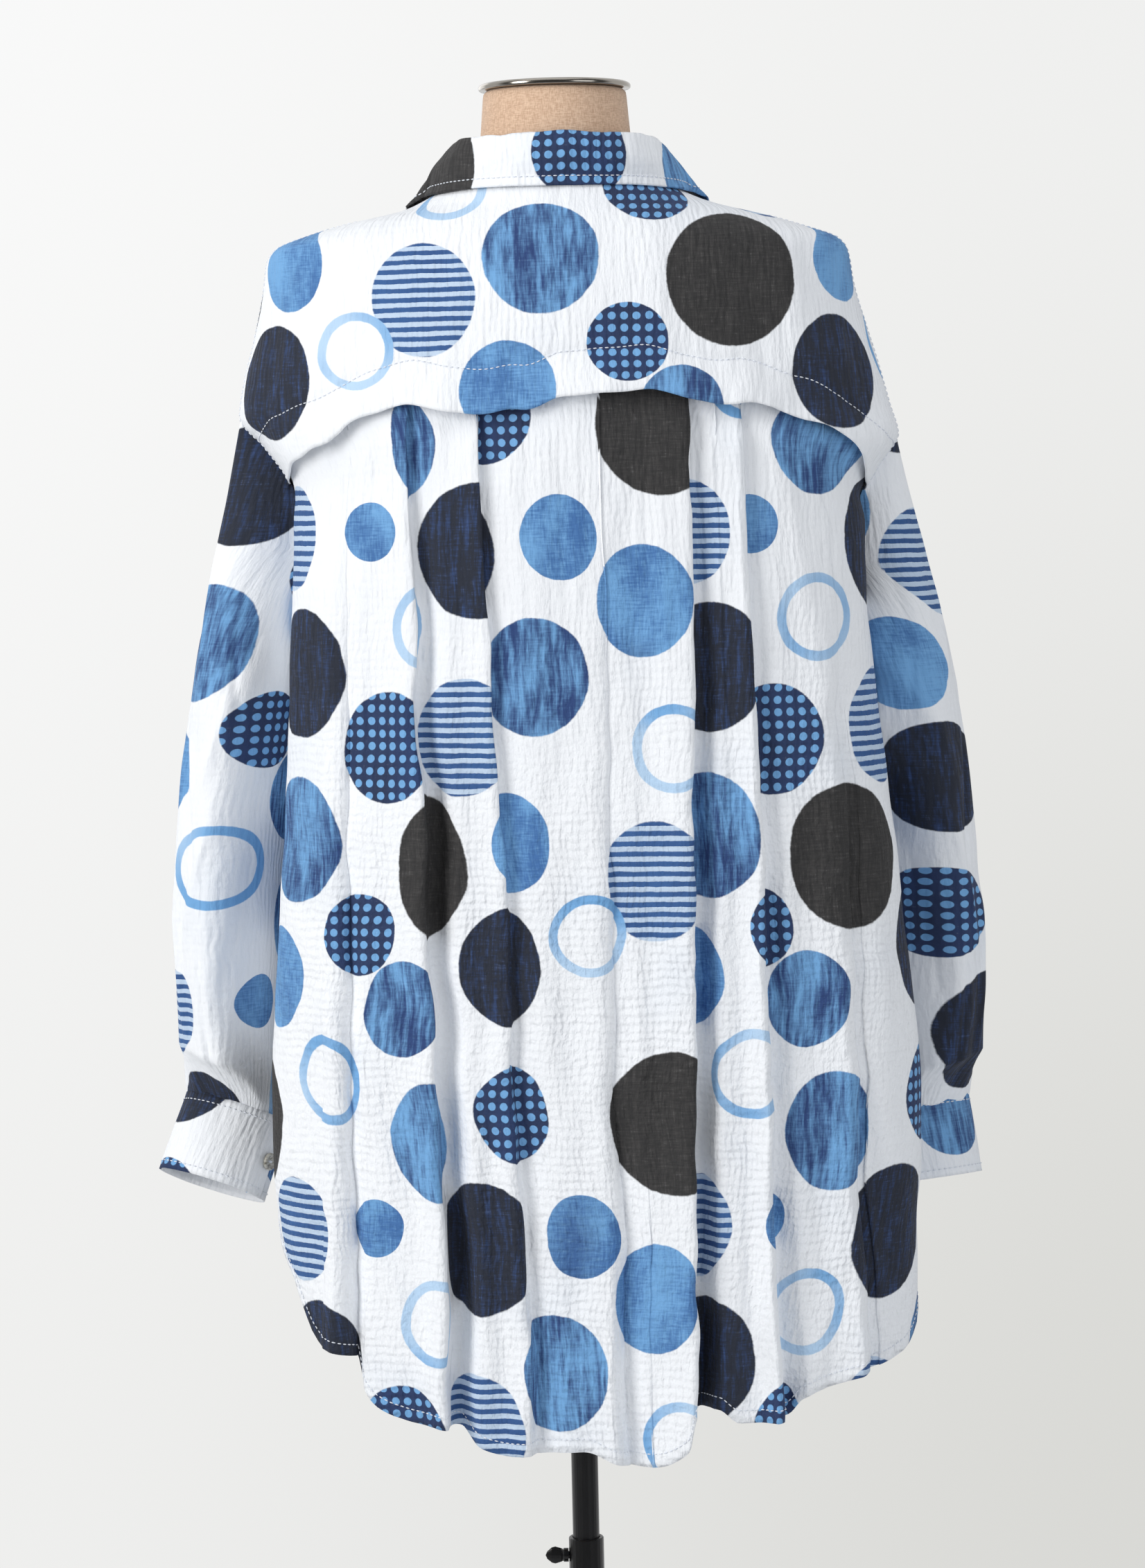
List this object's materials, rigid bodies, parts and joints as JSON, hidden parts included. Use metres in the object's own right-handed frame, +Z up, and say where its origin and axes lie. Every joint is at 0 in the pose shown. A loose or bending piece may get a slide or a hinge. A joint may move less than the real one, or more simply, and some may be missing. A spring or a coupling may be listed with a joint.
{
  "type": "tunic on dress form",
  "caption": "Long-sleeved shirt-tunic with a pleated back and shirt-tail hem, worn by a limbless dress form on a telescoping pole and round base.",
  "frame": {"origin": "middle of the base plate's underside, on the pole's axis", "axes": "+Z up along the pole, the garment's front faces -Y and its back +Y, the wearer's left is +X"},
  "size_m": [0.5924, 0.38, 1.5],
  "materials": {
    "crinkled_cotton": "matte",
    "form_linen": "matte",
    "chrome": "polished",
    "black_paint": "satin",
    "shell_button": "gloss"
  },
  "bodies": {
    "stand": {"base_plate": "black_paint", "outer_tube": "black_paint"},
    "pole": {"inner_pole": "black_paint"},
    "screw": {"thumb_screw": "black_paint"},
    "dressed_form": {"dress_form": "form_linen", "neck_cap": "chrome", "back_panel": "crinkled_cotton", "back_yoke": "crinkled_cotton", "left_front": "crinkled_cotton", "right_front": "crinkled_cotton", "button_band": "crinkled_cotton", "left_sleeve": "crinkled_cotton", "right_sleeve": "crinkled_cotton", "left_cuff": "crinkled_cotton", "right_cuff": "crinkled_cotton", "collar_stand": "crinkled_cotton", "collar_fall": "crinkled_cotton", "front_button_1": "shell_button", "front_button_2": "shell_button", "front_button_3": "shell_button", "front_button_4": "shell_button", "front_button_5": "shell_button", "front_button_6": "shell_button", "collar_button": "shell_button", "left_cuff_button": "shell_button", "right_cuff_button": "shell_button"}
  },
  "joints": [
    {"name": "pole_height", "type": "slide", "parent": "stand", "child": "pole", "axis": [0, 0, 1], "range_m": [-0.22, 0.12]},
    {"name": "form_swivel", "type": "hinge", "parent": "pole", "child": "dressed_form", "pos_m": [0, 0, 0.755], "axis": [0, 0, 1], "continuous": true},
    {"name": "thumb_screw_turn", "type": "hinge", "parent": "stand", "child": "screw", "pos_m": [0, 0, 0.457], "axis": [1, 0, 0], "continuous": true}
  ]
}
